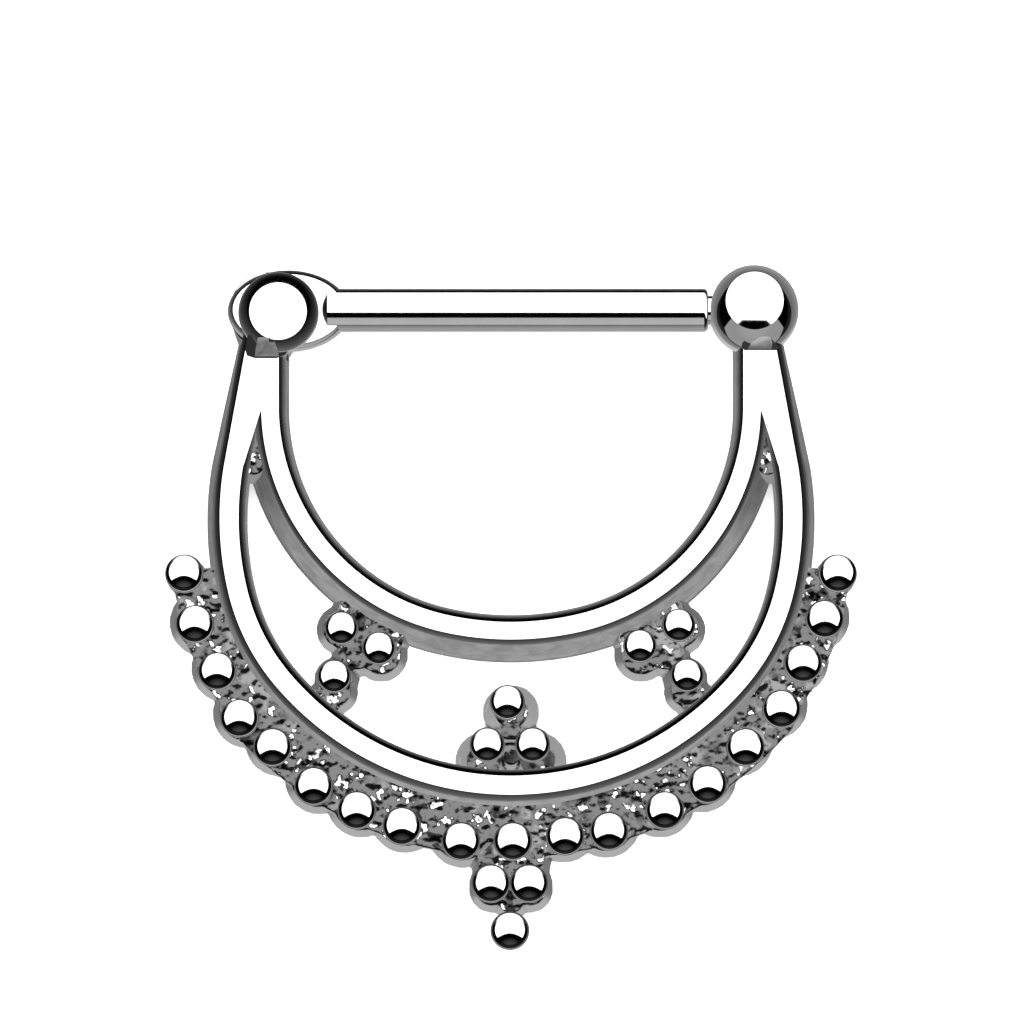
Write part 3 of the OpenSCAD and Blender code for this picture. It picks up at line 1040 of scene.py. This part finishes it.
# Cards close to the ring, that only some pieces see. In millimetres: the place they look at,
# their turn from straight up towards the pendant, distance, size and glow
BAR_CARDS = [((0.5, BAR_Y, BAR_Z), 63, 6.0, (12.4, 4.6), 0.48),
             ((0.5, BAR_Y, BAR_Z), 107, 6.0, (12.4, 4.2), 0.27)]
BALL_CARDS = [((CATCH_X, BAR_Y, 2.0), 92, 12.0, (34.0, 7.3), 0.36),
              ((CATCH_X, BAR_Y, 1.5), 180, 5.0, (26.0, 26.0), 0.16)]
LOBE_CARDS = [((0.0, -3.6, 0.5), 180, 5.0, (26.0, 26.0), 0.32)]
SADDLE_CARDS = [((0.0, BAR_Y, 2.0), 68, 100.0, (60.0, 60.0), 1.3)]

# Light that whitens the floor, and the floor's size: metres and watts
WASH_HEIGHT = 1.0
WASH_SIZE = (1.5, 1.5)
WASH_POWER = 25.0
FLOOR_SIZE = 4.0


def add_light(name, place, towards, size, power):
    """Soft light at a place, which shines against a direction; the camera doesn't see it."""
    data = bpy.data.lights.new(name, "AREA")
    data.shape = "RECTANGLE"
    data.size, data.size_y = size
    data.energy = power
    lamp = bpy.data.objects.new(name, data)
    bpy.context.scene.collection.objects.link(lamp)
    lamp.location = place
    lamp.rotation_mode = "QUATERNION"
    lamp.rotation_quaternion = towards.to_track_quat("Z", "Y")
    lamp.visible_camera = False
    return lamp


def add_cards(name, cards, only):
    """Lights each card, for some pieces only; it throws no shadow."""
    for k, (place, turn, distance, size, strength) in enumerate(cards):
        angle = math.radians(turn)
        towards = Vector((0, -math.sin(angle), math.cos(angle)))
        power = strength * math.pi * size[0] * size[1] * MM * MM
        card = add_light(f"{name}_{k + 1}", Vector(mm(*place)) + towards * distance * MM,
                         towards, mm(*size), power)
        card.data.use_shadow = False
        group = bpy.data.collections.new(card.name + "_lights")
        for piece in only:
            group.objects.link(piece)
        card.light_linking.receiver_collection = group


def set_floor():
    bpy.ops.object.select_all(action="DESELECT")
    bpy.ops.mesh.primitive_plane_add(size=FLOOR_SIZE, location=(0, 0, 0))
    floor = bpy.context.object
    floor.name = "floor"
    floor.data.materials.append(make_floor_paint())
    floor.visible_glossy = False
    floor.visible_shadow = False
    up = Vector((0, 0, 1))
    wash = add_light("floor_wash", up * WASH_HEIGHT, up, WASH_SIZE, WASH_POWER)
    wash.visible_glossy = False


def dress(pieces, material, body, node):
    """Gives pieces their finish; the ring doesn't show in its own polish, only the studio."""
    for piece in pieces:
        piece.visible_glossy = False
        piece.data.materials.clear()
        piece.data.materials.append(material)
        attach(piece, body)
        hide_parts(node)


def main():
    outer = build_rail("outer_rail", OUTER)
    inner = build_rail("inner_rail", INNER)
    wedge = build_wedges()
    for piece in (outer, inner, wedge):
        carve(piece, slot_cutter())
        smooth(piece, SHARP_CHAMFERS)
    dome = build_dome()
    saddles = [build_saddle("hinge_saddle", HINGE_SADDLE),
               build_saddle("catch_saddle", CATCH_SADDLE)]
    collars = [build_saddle("hinge_collar", HINGE_COLLAR),
               build_saddle("catch_collar", CATCH_COLLAR)]
    flare = build_flare()
    lug = build_lug()
    catch = build_catch()
    fan = build_fan()
    sides, middle, webs = build_plates()
    post = build_drop_post()
    beads = [build_beads(*group) for group in BEAD_GROUPS]
    bar = build_bar()
    pin = build_pin()

    finishes = [
        ([wedge, dome, flare, lug, post] + collars + beads,
         make_steel("polished_steel", STEEL, roughness=0.07, waviness=0.15)),
        ([catch], make_steel("ball_polish", STEEL, roughness=0.05, waviness=0.02)),
        # The rails' steep walls are darkened by painted shade
        ([outer, inner],
         make_steel("rail_steel", STEEL, roughness=0.07, waviness=0.15, shaded_wall_tone=0.55)),
        ([fan, sides], make_cast("cast_steel")),
        ([middle], make_cast("dark_cast_steel", pit_painted_shade=0.012, painted_lump_light=0.06, glint_from=0.53)),
        # The webs' flanks are darkened by painted shade, deep between the rails
        ([webs], make_cast("web_cast_steel_painted_shade", flank=0.45)),
        (saddles, make_steel("satin_steel", SATIN_STEEL, roughness=0.45, waviness=0.5)),
    ]
    for pieces, finish in finishes:
        dress(pieces, finish, "frame", "frame")
    bar_polish = make_steel("bar_polish", BAR_STEEL, roughness=0.07, waviness=0.1)
    turned_steel = make_steel("turned_steel", PIN_STEEL, roughness=0.25, waviness=0.2)
    dress([bar], bar_polish, "bar", "bar")
    dress([pin], turned_steel, "frame", "hinge_pin")

    set_camera()
    set_studio()
    set_floor()
    bpy.context.scene.view_settings.view_transform = "Standard"
    add_cards("bar_card", BAR_CARDS, [bar])
    add_cards("ball_card", BALL_CARDS, [catch])
    add_cards("lobe_card", LOBE_CARDS, [middle])
    add_cards("saddle_card", SADDLE_CARDS, saddles)


main()
